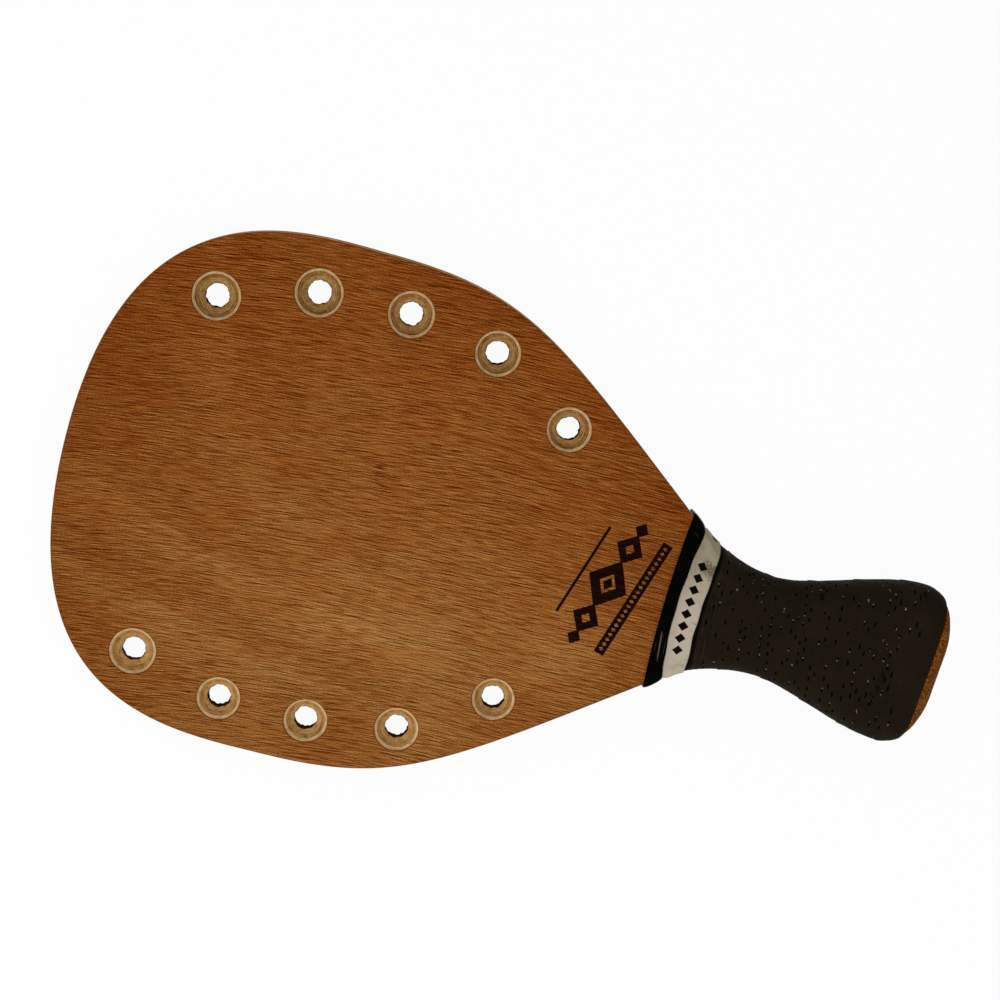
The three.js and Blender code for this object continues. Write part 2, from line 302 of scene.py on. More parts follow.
class Shader:
    def __init__(self, block, surface, uniform):
        block.use_nodes = True
        self.block, self.tree = block, block.node_tree
        self.surface = self.tree.nodes[surface]
        for socket, value in uniform.items():
            self.surface.inputs[socket].default_value = value

    def node(self, kind, settings, inputs, output=0):
        made = self.tree.nodes.new("ShaderNode" + kind)
        for name, value in settings.items():
            setattr(made, name, value)
        for socket, value in inputs.items():
            self.feed(made.inputs[socket], value)
        return Wire(self, made.outputs[output])

    def feed(self, socket, value):
        if isinstance(value, Wire):
            self.tree.links.new(value.socket, socket)
        else:
            socket.default_value = value

    def place(self):  # where the shaded point is on the racket, in metres
        spot = self.node("TexCoord", {}, {}, "Object")
        self.axes = [self.node("SeparateXYZ", {}, {"Vector": spot}, axis) for axis in "XYZ"]
        return self.axes

    def at(self, *cells):  # the same place in cells per metre; one number does for all three axes
        return [axis * count for axis, count in zip(self.axes, cells * 3)]

    def trait(self, name):  # a number kept on the mesh's points
        return self.node("Attribute", {"attribute_name": name}, {}, "Fac")

    def turn(self):  # the share of a turn round the handle, from the middle of its back
        angle = self.trait("turnSine").angleTo(self.trait("turnCosine"))
        return (angle / (2 * math.pi) + 1).fraction()

    def point(self, x, y, z):
        return self.node("CombineXYZ", {}, {"X": x, "Y": y, "Z": z})

    def cloud(self, spot, detail, roughness=0.5):
        inputs = {"Vector": self.point(*spot), "Scale": 1, "Detail": detail, "Roughness": roughness}
        return self.node("TexNoise", {}, inputs)

    def cells(self, spot, feature, output="Distance"):
        inputs = {"Vector": self.point(*spot), "Scale": 1}
        return self.node("TexVoronoi", {"feature": feature}, inputs, output)

    def ramp(self, value, stops):  # the first two stops are the ramp's ends
        shade = self.node("ValToRGB", {}, {"Fac": value})
        elements = shade.socket.node.color_ramp.elements
        for i, (place, colour) in enumerate(stops):
            stop = elements[i] if i < 2 else elements.new(place)
            stop.position, stop.color = place, colour
        return shade

    def tint(self, colour, share, blend="MIX"):  # mixes a colour over the one so far
        kinds = {"data_type": "RGBA", "blend_type": blend}
        self.colour = self.node("Mix", kinds, {0: share, 6: self.colour, 7: colour}, 2)

    def seen(self):  # 1 for the camera's own rays and for those that gloss or glass sends on
        kinds = ("Is Camera Ray", "Is Glossy Ray", "Is Transmission Ray")
        camera, gloss, glass = [self.node("LightPath", {}, {}, kind) for kind in kinds]
        return camera.most(gloss).most(glass)

    def cover(self, output, share, kind):  # mixes a plain shader over what the output shows so far
        surface = self.tree.nodes[output].inputs["Surface"]
        under, over = Wire(self, surface.links[0].from_socket), self.node(kind, {}, {})
        self.feed(surface, self.node("MixShader", {}, {0: share, 1: under, 2: over}))

    def dress(self, rough, height, distance, strength):  # the last three make the bump
        inputs = {"Height": height, "Distance": distance, "Strength": strength}
        bump = self.node("Bump", {}, inputs)
        for socket, value in (("Base Color", self.colour), ("Roughness", rough), ("Normal", bump)):
            self.feed(self.surface.inputs[socket], value)
        return self.block


def newFinish(name, shine):
    return Shader(bpy.data.materials.new(name), "Principled BSDF", {"Specular IOR Level": shine})


# Plywood finishes

veneerLook = {
    "shades": ((0.0, paint(78, 26, 0)), (1.0, paint(178, 137, 82)), (0.5, paint(134, 82, 32)),
               (0.18, paint(98, 45, 0))),
    "blush": (1, 0.84, 0.7, 1),  # the wood is redder towards one side, and in patches
    "layers": {  # cells per metre along and across the grain, shift, depth, detail and share in the tone
        "patch": (6, 12, 3, 0, 3, 0.19),
        "ribbon": (10, 130, 0, 0, 2, 0.03),
        "thread": (60, 1400, 0, 7, 0, 0.1),
        "grit": (1300, 1900, 0, 11, 0, 0.5),
    },
    "strands": {  # cells per metre along and across, shift, depth and share of the long strands
        "fibre": (132, 1850, 0, 3, 0.72),
        "pore": (92, 1850, 0, 0, -0.4),
        "streak": (40, 1700, 5, 0, -0.38),
    },
    "relief": 0.6,  # how much of its neighbour is taken from each strand
    "knot": paint(82, 22, 0),
    "edge": paint(108, 62, 26),
    "ink": paint(13, 2, 0),
    "slope": 0.048,  # of the grain against the racket's axis
    "bend": -0.262,  # how that slope changes along the racket, per metre
    "level": 0.548,
    "paintedFalloff": (-0.82, -0.75, -7.6, -2.7, -5.8),  # painted light falloff: of the tone with x, y, x², xy and y², in metres
    "clearings": (  # paler and darker places: where, how far in millimetres, and strength
        (32, -40, 36, 0.12),
        (-60, -92, 44, -0.11),
        (-151, -74, 28, 0.06),
    ),
    "sheens": ((1.2, 0.182, 0.05), (2.0, 0.325, 0.09), (2.0, 0.39, 0.08)),  # aspect, radius and strength
    "sheenCentre": (0.02, 0.11),
    "knots": (  # place, half length and half width, in millimetres
        (-71.3, 27.4, 2.6, 1.1),
        (-72.0, 23.4, 3.4, 0.8),
        (-71.6, 20.9, 2.4, 0.5),
        (-68.4, 18.9, 3.2, 0.6),
        (-66.6, 16.9, 2.0, 0.5),
        (-150.6, 109.6, 0.8, 0.8),
        (-131.2, -102.5, 1.0, 0.7),
    ),
}

motifLook = {
    "x": 47.5,
    "y": 0.5,
    "turn": -16.5,
    "soft": 0.13,  # half width of the ink's soft edge
    "lozenges": (  # place along the chain, half length, half width and the hole's share
        (0, 13, 10.5, 0.42),
        (0, 3.4, 2.6, 0),
        (19.5, 8.0, 7.2, 0.34),
        (-19.5, 8.0, 7.2, 0.34),
        (30.2, 4.0, 3.6, 0),
        (-30.2, 4.0, 3.6, 0),
    ),
    "strip": (14.4, 2.6, 31),  # place across the chain, half width and half length
    "stripEnd": 1.2,  # length without beads at each of its ends
    "beadStep": 2.7,
    "beadSize": (1.25, 0.95),  # half size across and along
    "line": (-13.8, 0.7, 24),
}


def motifMask(x, y, look):  # a plain chain of lozenges between a beaded strip and a thin line
    u, v = turned(x / mm - look["x"], y / mm - look["y"], look["turn"])
    soft = look["soft"]

    def lozenge(across, along, halfWidth, halfLength):
        far = across.size() / halfWidth + along.size() / halfLength
        return far, (1 - far).between(-soft / halfWidth, soft / halfWidth)

    def bar(place, halfWidth, halfLength):
        inside = (halfWidth - (u - place).size()).least(halfLength - v.size())
        return inside.between(-soft, soft)

    ink = bar(*look["line"])
    for centre, halfLength, halfWidth, hole in look["lozenges"]:
        far, shape = lozenge(u, v - centre, halfWidth, halfLength)
        if hole:
            shape = shape * (far - hole).between(-soft / halfWidth, soft / halfWidth)
        ink = ink.most(shape)
    stripU, _, stripLength = look["strip"]
    along = ((v / look["beadStep"]).fraction() - 0.5) * look["beadStep"]
    bead = lozenge(u - stripU, along, *look["beadSize"])[1]
    beaded = (stripLength - look["stripEnd"] - v.size()).between(0, 0.2)
    return ink.most(bar(*look["strip"]) * (1 - bead * beaded))


def broadTone(x, y, sway, look):  # how light the wood is, apart from its grain, with a painted light falloff across the blade
    byX, byY, byXX, byXY, byYY = look["paintedFalloff"]
    tone = look["level"] + x * (x * byXX + y * byXY + byX) + y * (y * byYY + byY)
    centreX, centreY = look["sheenCentre"]
    for aspect, radius, strength in look["sheens"]:  # faint arcs in the wood's figure, each with a painted sheen just outside it
        far = ((x - centreX) ** 2 + ((y - centreY) * aspect) ** 2) ** 0.5 + sway
        arc = far.between(radius - 0.003, radius + 0.002) - far.between(radius, radius + 0.05)
        tone = tone + arc * (0.04 - x).between(0, 0.12) * strength
    for placeX, placeY, reach, strength in look["clearings"]:
        far = (((x - placeX * mm) ** 2 + (y - placeY * mm) ** 2) ** 0.5 + sway) / (reach * mm)
        tone = tone + far.between(1, 0) * strength
    return tone


def acrossGrain(x, y):
    return y - x * (veneerLook["slope"] + x * veneerLook["bend"])


def strand(s, x, v, cells, relief):  # a long strand, set off from the one beside it, round 0
    along, across, shift, depth, _ = cells
    here, beside = [s.cloud((x * along, v * across + shift + step, depth), 0) - 0.5 for step in (0, 0.95)]
    return here - beside * relief


def veneerFinish(name, printed):
    look = veneerLook
    s = newFinish(name, 0.02)
    x, y, z = s.place()
    sway = s.cloud((x * 8, y * 13, 0), 2) - 0.5
    v = acrossGrain(x, y) + sway * 0.008
    tone = broadTone(x, y, sway * 0.02, look)
    layers = {}
    for layer, (along, across, shift, depth, detail, share) in look["layers"].items():
        layers[layer] = s.cloud((x * along + shift, v * across, depth), detail) - 0.5
        tone = tone + layers[layer] * share
    fibre, pore, streak = [strand(s, x, v, cells, look["relief"]) for cells in look["strands"].values()]
    crowd = (s.cloud((x * 24 + 7, v * 90, 0), 2) - 0.5) * 0.08  # pores stand in crowds
    pore = (pore + crowd).between(0.12, 0.25)
    streak = (streak + crowd + x * 0.35).between(0.17, 0.29)
    for value, cells in zip((fibre, pore, streak), look["strands"].values()):
        tone = tone + value * cells[-1]
    s.colour = s.ramp(tone, look["shades"])
    s.tint(look["blush"], y.between(-0.13, 0.13), "MULTIPLY")
    tinge = s.cloud((x * 26 + 5, v * 60, 0), 2).between(0.38, 0.66)
    s.tint(look["blush"], tinge * 0.7, "MULTIPLY")
    for knotX, knotY, length, width in look["knots"]:
        across = (v - acrossGrain(knotX * mm, knotY * mm)) / (width * mm)
        far = (((x - knotX * mm) / (length * mm)) ** 2 + across**2) ** 0.5
        s.tint(look["knot"], (far + fibre * 2.5).between(1.5, 0.3) * 0.85)
    height = (fibre + layers["grit"] + layers["thread"]) * 0.3 - pore - streak
    rough = 0.5 + layers["ribbon"] * 0.2 + pore * 0.15
    rim = halfBoard - 0.04  # where the flat of the face ends
    if printed:
        ink = motifMask(x, y, motifLook) * (z / mm).between(rim - 0.06, rim)
        s.tint(look["ink"], ink * (1 - pore * 0.12 - streak * 0.06))
        rough = rough - ink * 0.1
    edge = (z.size() / mm).between(rim, rim - 0.1)  # the veneer's own thin edge, darker
    s.tint(look["edge"], edge * 0.9)
    return s.dress(rough, height, 0.0002, 0.5)


plyLooks = {
    "crossPly": {"dark": paint(168, 132, 88), "light": paint(220, 186, 140), "turned": True, "speck": 0.12,
                 "blotch": 0.15, "glue": ()},
    "innerPly": {"dark": paint(118, 78, 34), "light": paint(190, 142, 84), "turned": False, "speck": 0.55,
                 "blotch": 0.45, "glue": ((4.62, 0.24, 0.9), (3.85, 0.1, 0.7), (3.08, 0.14, 0.8))},
    "corePly": {"dark": paint(146, 106, 54), "light": paint(206, 162, 100), "turned": True, "speck": 0.35,
                "blotch": 0.5, "glue": ((2.2, 0.12, 0.6), (1.2, 0.1, 0.5))},
}  # glue lines have their height, half thickness and strength
plyStainsAndShade = {
    "rosy": paint(186, 144, 104),
    "olive": paint(128, 94, 30),
    "speck": paint(60, 32, 12),
    "glue": paint(74, 34, 8),
    # painted shade for the bores' deep walls
    "boreShade": paint(44, 22, 7),
}


def plyFinish(name):
    look = plyLooks[name]
    s = newFinish(name, 0)
    x, y, z = s.place()
    u, v = (y, x) if look["turned"] else (x, y)
    layer = s.cloud((u * 30, v * 260, z * 900), 3, 0.6) - 0.5
    fibre = s.cloud((u * 160, v * 1500, z * 2600), 3, 0.65) - 0.5
    tone = 0.5 + layer * 0.9 + fibre * 1.3 - y * 1.3
    s.colour = s.ramp(tone, ((0, look["dark"]), (1, look["light"])))
    blot = s.cloud(s.at(340, 340, 1100), 2, 0.6) - 0.5
    s.tint(look["light"], blot.between(0.02, 0.16) * 0.6)
    s.tint(look["dark"], blot.between(-0.02, -0.16) * 0.7)
    tint = s.cloud((x * 420 + 4, y * 420, z * 500), 2, 0.6)
    s.tint(plyStainsAndShade["rosy"], tint.between(0.52, 0.68) * look["blotch"])
    s.tint(plyStainsAndShade["olive"], tint.between(0.48, 0.32) * look["blotch"])
    speck = s.cloud((u * 420, v * 1400, z * 1400), 2).between(0.58, 0.7)
    sheet = s.cloud((u * 130, v * 130, z * 2600), 2, 0.6).between(0.52, 0.62)
    s.tint(plyStainsAndShade["speck"], speck.most(sheet) * look["speck"] * y.between(-0.09, 0.05))
    broken = (0.44 + y * 1.6 + blot * 2 + layer).between(0.3, 0.8)  # where the glue lines show
    for height, half, strength in look["glue"]:
        line = (half - (z.size() / mm - height + fibre * 0.5).size()).between(-0.06, 0.06)
        s.tint(plyStainsAndShade["glue"], line * broken * strength)
    # painted shade on the bores' walls, which lie deep in shadow
    boreShade = (s.trait("bore") + layer * 0.7 + blot * 0.8).between(0.35, 0.8)
    s.tint(plyStainsAndShade["boreShade"], boreShade * 0.94)
    rough = 0.72 + fibre * 0.3
    return s.dress(rough, fibre - speck * 0.5, 0.0003, 0.6)


# The seven plies

holes = {
    "bore": 11,
    "countersink": 22.4,
    "backShare": 0.75,  # size of the countersink on the back, as a share of the front one
    "ragged": 0.5,  # how uneven the bores' torn lips are
    "raggedReach": 1.1,  # how far up the countersink that goes
    "lipRings": (0, 0.35, 0.8),  # heights of the rings above a bore's end
    "boreShadeReach": 0.5,  # how far the bore's painted shade fades into the countersink
    "steps": 96,
    "places": (  # along from tip to throat, across out of half the width, countersink, all as shares
        (0.168, 0.742, 1.05),
        (0.315, 0.794, 1.05),
        (0.457, 0.808, 1.015),
        (0.599, 0.802, 1.0),
        (0.7355, 0.7155, 0.99),
        (0.177, -0.783, 1.025),
        (0.323, -0.825, 0.965),
        (0.4625, -0.828, 0.975),
        (0.6035, -0.825, 0.985),
        (0.7375, -0.736, 0.96),
    ),
}
boardSteps = {"tip": 90, "shoulder": 60, "flank": 10, "throat": 16, "grip": 24, "butt": 40}
sideEdge = edgePoints(boardSteps)[:-1]
rimAngles = [math.radians(angle) for angle in range(0, 90, 9)]


def rimInset(z):
    into = max(0, abs(z) - halfBoard + build["rimRadius"])
    return build["rimRadius"] - math.sqrt(max(0, build["rimRadius"] ** 2 - into**2))


def boardEdge(z):  # the outline at a height: a rounded rim on the blade, the handle's section behind
    x, y = sideEdge[:, 0].copy(), sideEdge[:, 1].copy()
    along = np.gradient(sideEdge, axis=0)
    along[0] = (0, 1)
    along /= np.linalg.norm(along, axis=1)[:, None]
    blade = x < cheekX
    inDome = x > domeX
    x[inDome] = domeX + (x[inDome] - domeX) * math.sqrt(1 - (z / domeHeight) ** 2)
    width, height, radius = sectionAt(x, 0)
    into = np.clip(abs(z) - height + radius, 0, radius)
    y = np.where(blade, y, np.minimum(y, width) - radius + np.sqrt(radius**2 - into**2))
    inset = rimInset(z)
    x = x + blade * along[:, 1] * inset
    y = y - blade * along[:, 0] * inset
    side = np.stack((x, np.maximum(y, 0), np.full(len(x), z)), 1)
    return np.vstack((side, side[:0:-1] * (1, -1, 1)))


def depthsOf(mouth):  # how deep the two countersinks of a hole go
    return [(mouth * share * holes["countersink"] - holes["bore"]) / 2 for share in (1, holes["backShare"])]


def holeEdge(index, z):
    along, across, mouth = holes["places"][index]
    centre = np.array((along * throatX, across * halfWidthAt(along * throatX)))
    bore = holes["bore"] / 2
    front, back = depthsOf(mouth)
    cone = max(0, front - halfBoard + z, back - halfBoard - z)
    near = max(0, 1 - cone / holes["raggedReach"])
    turns = np.linspace(0, 2 * math.pi, holes["steps"], endpoint=False)
    ring = []
    for turn in turns:
        way = Vector((math.cos(turn), math.sin(turn), 0))
        chip = noise.noise(way * 3 + Vector((index * 5.1, 0, z * 0.2)))
        chip += 0.5 * noise.noise(way * 6 + Vector((0, index * 3.7, z * 0.4)))
        radius = bore + cone + holes["ragged"] * near * chip
        ring.append((centre[0] + radius * way.x, centre[1] + radius * way.y, z))
    return ring


def plyHeights(low, high, turns):  # heights of a wall's rings: the ply's faces and the turns between
    gap = 0.05
    inside = {round(z, 4) for z in turns if low + gap < z < high - gap}
    return [low, *sorted(inside), high]


def makePly(name, low, high, material):
    rounds = [halfBoard - build["rimRadius"] * (1 - math.sin(angle)) for angle in rimAngles]
    shape = bmesh.new()
    deep = shape.verts.layers.float.new("bore")
    borders = []

    def addWall(rings, depths):
        made = [[shape.verts.new(p) for p in toMetres(ring)] for ring in rings]
        for ring, depth in zip(made, depths):
            for vertex in ring:
                vertex[deep] = depth
        for below, above in zip(made, made[1:]):
            for i in range(len(below)):
                shape.faces.new((below[i - 1], below[i], above[i], above[i - 1])).smooth = True
        borders.append((made[0], made[-1]))

    heights = plyHeights(low, high, rounds + [-z for z in rounds])
    addWall([boardEdge(z) for z in heights], [0] * len(heights))
    for index, (_, _, mouth) in enumerate(holes["places"]):
        top, bottom = (halfBoard - depth for depth in depthsOf(mouth))
        turns = [0] + [side * (land + step) for side, land in ((1, top), (-1, bottom))
                       for step in holes["lipRings"]]
        heights = plyHeights(low, high, turns)
        depths = [1 - min(1, max(0, z - top, -z - bottom) / holes["boreShadeReach"]) for z in heights]
        addWall([holeEdge(index, z) for z in heights], depths)
    for rings in zip(*borders):  # the ply's two faces
        edges = [shape.edges.get((ring[i - 1], ring[i])) for ring in rings for i in range(len(ring))]
        bmesh.ops.triangle_fill(shape, edges=edges, use_beauty=True)
    bmesh.ops.recalc_face_normals(shape, faces=shape.faces)
    mesh = bpy.data.meshes.new(name)
    shape.to_mesh(mesh)
    shape.free()
    mesh.set_sharp_from_angle(angle=math.radians(build["sharpAngle"]))
    return addObject(mesh, material)


crossFinish, innerFinish, coreFinish = plyFinish("crossPly"), plyFinish("innerPly"), plyFinish("corePly")
layup = (
    ("backVeneer", "back_veneer", "face_veneer", "veneer", veneerFinish("backFaceVeneer", False)),
    ("backCrossPly", "back_cross_ply", "cross_ply", "crossPly", crossFinish),
    ("backInnerPly", "back_inner_ply", "inner_ply", "innerPly", innerFinish),
    ("corePly", "core_ply", "core_ply", "corePly", coreFinish),
    ("frontInnerPly", "front_inner_ply", "inner_ply", "innerPly", innerFinish),
    ("frontCrossPly", "front_cross_ply", "cross_ply", "crossPly", crossFinish),
    ("frontVeneer", "front_veneer", "face_veneer", "veneer", veneerFinish("frontFaceVeneer", True)),
)
level = -halfBoard
for name, node, slot, thickness, material in layup:
    stand(makePly(name, level, level + build[thickness], material), node)
    level += build[thickness]
print("plywood made")


# Cork cheeks

cork = {
    "dark": paint(84, 42, 10),
    "middle": paint(134, 74, 24),
    "light": paint(176, 110, 48),
    "crack": paint(52, 24, 8),
    "grain": 1500,  # cork grains per metre
    "pit": 0.14,  # depth of the torn surface at the bare butt
    "bareLead": 5,  # where that surface begins, ahead of the dome
    "endLip": 0.08,  # height of the dome's last ring above the plywood
    "around": 150,
    "rampSteps": 40,
    "bareSteps": 10,
    "domeSteps": 34,
}


def corkFinish():
    s = newFinish("corkCheek", 0.02)
    s.place()
    grain = s.at(cork["grain"])
    shade = s.node("SeparateColor", {}, {"Color": s.cells(grain, "F1", "Color")})
    gap = s.cells(grain, "DISTANCE_TO_EDGE")
    fine = s.cloud(s.at(2100), 3, 0.7) - 0.5
    shades = ((0, cork["dark"]), (1, cork["light"]), (0.4, cork["middle"]))
    s.colour = s.ramp(shade * 0.9 + fine * 0.9, shades)
    crack = (gap + fine * 0.12).between(0.1, 0)
    s.tint(cork["crack"], crack * 0.7)
    height = shade * 0.4 + fine - crack * 0.9
    return s.dress(0.82 + fine * 0.2, height, 0.0006, 0.9)


def cheekRing(x, count):  # the part of the section that stands above the plywood
    width, height, radius = (float(v) for v in sectionAt(np.array(x), 0))
    flat, corner = width - radius, radius * math.pi / 2 + height - radius
    drop = math.acos(np.clip((halfBoard - height + radius) / radius, -1, 1))
    reach = flat + (corner - halfBoard if height - radius >= halfBoard else radius * drop)
    lengths = np.linspace(-reach, reach, count)
    y, z = aroundAt(np.full(count, x), 0.5 + lengths / (flat + corner) / 4, 0)
    return np.stack((np.full(count, x), y, z), 1)


def makeCheek(name, side, material):
    lastTurn = math.acos((halfBoard + cork["endLip"]) / domeHeight)
    turns = np.linspace(0, lastTurn, cork["domeSteps"])
    bareX = domeX - cork["bareLead"]
    stations = np.concatenate((np.linspace(cheekX, bareX, cork["rampSteps"])[:-1],
                               np.linspace(bareX, domeX, cork["bareSteps"])[:-1],
                               domeX + build["domeLength"] * np.sin(turns)))
    points = []
    for x in stations:
        ring = cheekRing(x, cork["around"])
        if x > bareX:
            for p in ring:
                spot = Vector(p)
                torn = noise.noise(spot * 0.9) + 0.6 * noise.noise(spot * 2.1 + Vector((5, 5, 5)))
                top = min(1, (p[2] - halfBoard) / 0.6)
                p += np.array((0.5, 0, 0.5)) * cork["pit"] * (torn - 0.5) * top
        points.append(ring)
    points = np.vstack(points) * (1, side, side)
    count = cork["around"]
    faces = loftFaces(len(stations), count)
    faces += [tuple(range(count)), tuple(range(len(points) - count, len(points)))]
    return addObject(meshFrom(name, points, faces), material)


corkMaterial = corkFinish()
stand(makeCheek("frontCorkCheek", 1, corkMaterial), "front_cork_cheek")
stand(makeCheek("backCorkCheek", -1, corkMaterial), "back_cork_cheek")
print("cork made")


# Overgrip, wound on as a helix

grip = {
    "startLead": 6,
    "bareButt": 8.6,
    "sweep": (3.3, -0.4),  # how far the front and the end edge go back at the sides
    "thickness": 1.25,
    "under": 0.1,  # the tape's inside above the cork
    "pitch": 22,  # what one turn advances
    "columns": 120,  # cells round the handle
    "rows": 17,  # cells across one turn, without the narrow one that steps over the lap
    "lapWidth": 0.3,
    "lapHeight": 0.28,
    "nominalTurn": 165,  # millimetres round the handle, for the flat sheet
    "lapFade": 0.26,  # share of a turn over which the lap's height goes down again
    "slit": 0.68,  # share of a pair of columns that the one with the slits takes
    "pitRows": (1, 3, 5, 7, 9, 11, 13, 15),
    "pitStep": 2.55,  # about two rows of cells, in millimetres
    "pitMargins": (12, 10),  # lengths without pits at the two ends
    "pitShare": 0.44,  # of the pits that wear and stretching have left open
    "pitStretch": (1.65, 0.95),  # how a pit's cell is stretched round the handle and along it
    "pitWalls": ((0.05, 0.02), (0.06, 0.45)),  # width and depth of a pit's lip and of its wall
    "colour": paint(24, 18, 10),
    "worn": paint(32, 25, 15),
    "scuffAndSheen": paint(50, 42, 30),
    "tapeEdge": 309.0,  # where the finishing tape ends on the overgrip
    # near-black used as painted shade: in the pits, along the tape's rear edge and in the creases
    "hole": paint(1, 1, 1),
    "glint": paint(112, 98, 82),
    "crumples": (  # place along and across, direction in degrees, half length, half width and depth
        (363.2, 24.6, 61, 5.5, 2.6, 0.4),
        (401.0, -10.5, 82, 13.5, 2.3, 0.28),
    ),
    "edgeLines": (  # place, slant, half length and depth of the lines where older wraps press through
        (309.8, 0, 30, 0.9),
        (311.9, -0.02, 24, 0.7),
        (314.2, 0.06, 20, 0.6),
        (318.4, 0.28, 14, 0.4),
        (322.6, 0.28, 14, 0.4),
    ),
}
gripStart = throatX - grip["startLead"]
gripEnd = endX - grip["bareButt"]


def gripSheet():  # the unrolled tape: X round the handle, Y along it, Z out of it
    columns, rows, pitch = grip["columns"], grip["rows"] + 1, grip["pitch"]
    cell = (pitch - grip["lapWidth"]) / grip["rows"]
    firstTurn = math.floor((gripStart - 5) / pitch) - 1  # with some to spare, for the cut at the ends
    turnCount = math.ceil((gripEnd + 5) / pitch) + 1 - firstTurn
    places = [(firstTurn + turn) * pitch + row * cell for turn in range(turnCount) for row in range(rows)]
    turns = [(column // 2 + column % 2 * grip["slit"]) * 2 / columns for column in range(columns + 1)]
    sheet = bmesh.new()
    grid = [[sheet.verts.new((turn * grip["nominalTurn"], place + pitch * turn, 0)) for turn in turns]
            for place in places]
    holed = []
    for i in range(len(grid) - 1):
        row = i % rows
        for j in range(columns):
            face = sheet.faces.new((grid[i][j], grid[i][j + 1], grid[i + 1][j + 1], grid[i + 1][j]))
            middle = face.calc_center_median().y
            inside = gripStart + grip["pitMargins"][0] < middle < gripEnd - grip["pitMargins"][1]
            if inside and row in grip["pitRows"] and j % 4 == 2 * (grip["pitRows"].index(row) % 2):
                wear = noise.noise(Vector((i * 0.9, j * 0.37, 2.5)))
                wear += 0.35 * noise.noise(Vector((i / 9, j / 14, 8)))
                if wear > 0.5 - grip["pitShare"]:
                    holed.append(face)
    length, width = grip["pitStretch"]
    for face in holed:
        middle = face.calc_center_median()
        stretch = Vector((length + 0.5 * noise.noise(middle * 3.1), width, 1))
        shiftX, shiftY = noise.noise(middle * 2.3), noise.noise(middle * 1.7 + Vector((9, 0, 0)))
        for vertex in face.verts:
            vertex.co = middle + Vector((0.5 * shiftX, 0.22 * shiftY, 0)) + (vertex.co - middle) * stretch
    for thickness, depth in grip["pitWalls"]:
        bmesh.ops.inset_individual(sheet, faces=holed, thickness=thickness, depth=-depth)
    for place, way in ((gripStart, -1), (gripEnd, 1)):
        everything = sheet.verts[:] + sheet.edges[:] + sheet.faces[:]
        bmesh.ops.bisect_plane(sheet, geom=everything, dist=1e-4, plane_co=(0, place, 0),
                               plane_no=(0, way, 0), clear_outer=True)
        rim = [e for e in sheet.edges if all(abs(v.co.y - place) < 1e-3 for v in e.verts)]
        for v in bmesh.ops.extrude_edge_only(sheet, edges=rim)["geom"]:  # the end turns in to the cork
            if isinstance(v, bmesh.types.BMVert):
                v.co += Vector((0, way * 0.1, grip["under"] - grip["thickness"]))
    return sheet


def refined(shape):  # subdivides a bmesh once and gives its points and faces
    mesh = bpy.data.meshes.new("sheet")
    shape.to_mesh(mesh)
    shape.free()
    helper = link("sheet", mesh)
    smooth = helper.modifiers.new("smooth", "SUBSURF")
    smooth.levels = 1
    smooth.boundary_smooth = "PRESERVE_CORNERS"
    made = helper.evaluated_get(bpy.context.evaluated_depsgraph_get()).to_mesh()
    points = np.empty(len(made.vertices) * 3)
    made.vertices.foreach_get("co", points)
    faces = [tuple(face.vertices) for face in made.polygons]
    bpy.data.objects.remove(helper)
    bpy.data.meshes.remove(mesh)
    return points.reshape(-1, 3), faces


def foldsAt(points):  # folds of the tape in millimetres, and how deep in a crease each point lies
    x, y, z = points.T
    front = (z > 0).astype(float)
    soft = np.sin((x - 0.02 * y * y / 10) * 2.3) * np.exp(-((x - 314) / 5) ** 2) * 0.07
    soft += 0.05 * np.sin(x * 0.55 + y * 0.11) * np.sin(y * 0.16 + 1)
    ridge, crease = np.zeros(len(x)), np.zeros(len(x))
    for centreX, centreY, angle, length, width, depth in grip["crumples"]:
        u, v = turned(x - centreX, y - centreY, angle)
        near = front * np.exp(-(u / length) ** 4 - (v / width) ** 2)
        wrinkle = np.sin(u * 1.7 + 1.6 * np.sin(v * 1.3)) * np.sin(v * 2.1 + 1.5 * np.sin(u * 0.7 + 2))
        ridge += near * depth * wrinkle
        crease += near * np.clip(0.3 - wrinkle * 2.0, 0, 0.8)
    for place, slant, length, depth in grip["edgeLines"]:
        off = x + slant * y - 0.0017 * y * y - place + 0.2 * np.sin(y * 0.4 + place)
        near = front * np.exp(-(off / 0.5) ** 2 - ((y - 2) / length) ** 4) * depth
        ridge -= 0.3 * near
        crease += near * (0.6 + 0.4 * np.sin(y * 0.9 + place * 3))
    return soft + ridge, crease


def pitTraits(sheet):  # each point's depth in its pit, and which pits glint at one end
    depth, pale = [], []
    for x, y, z in sheet.tolist():
        turn = x / grip["nominalTurn"]
        pair = turn * grip["columns"] / 2
        row = round((y - grip["pitch"] * turn) / grip["pitStep"])
        chance = noise.noise(Vector((math.floor(pair) * 1.7, row * 2.3, 0.5)))
        end = 1 if noise.noise(Vector((math.floor(pair) * 2.9, row * 1.3, 4.5))) > 0 else -1
        inside = gripStart + 1 < y < gripEnd - 1  # the turned-in ends aren't pits
        depth.append(max(0, -z) if inside else 0)
        pale.append(chance > 0.12 and (pair % 1 - grip["slit"] / 2) * end > 0.04)
    return depth, pale


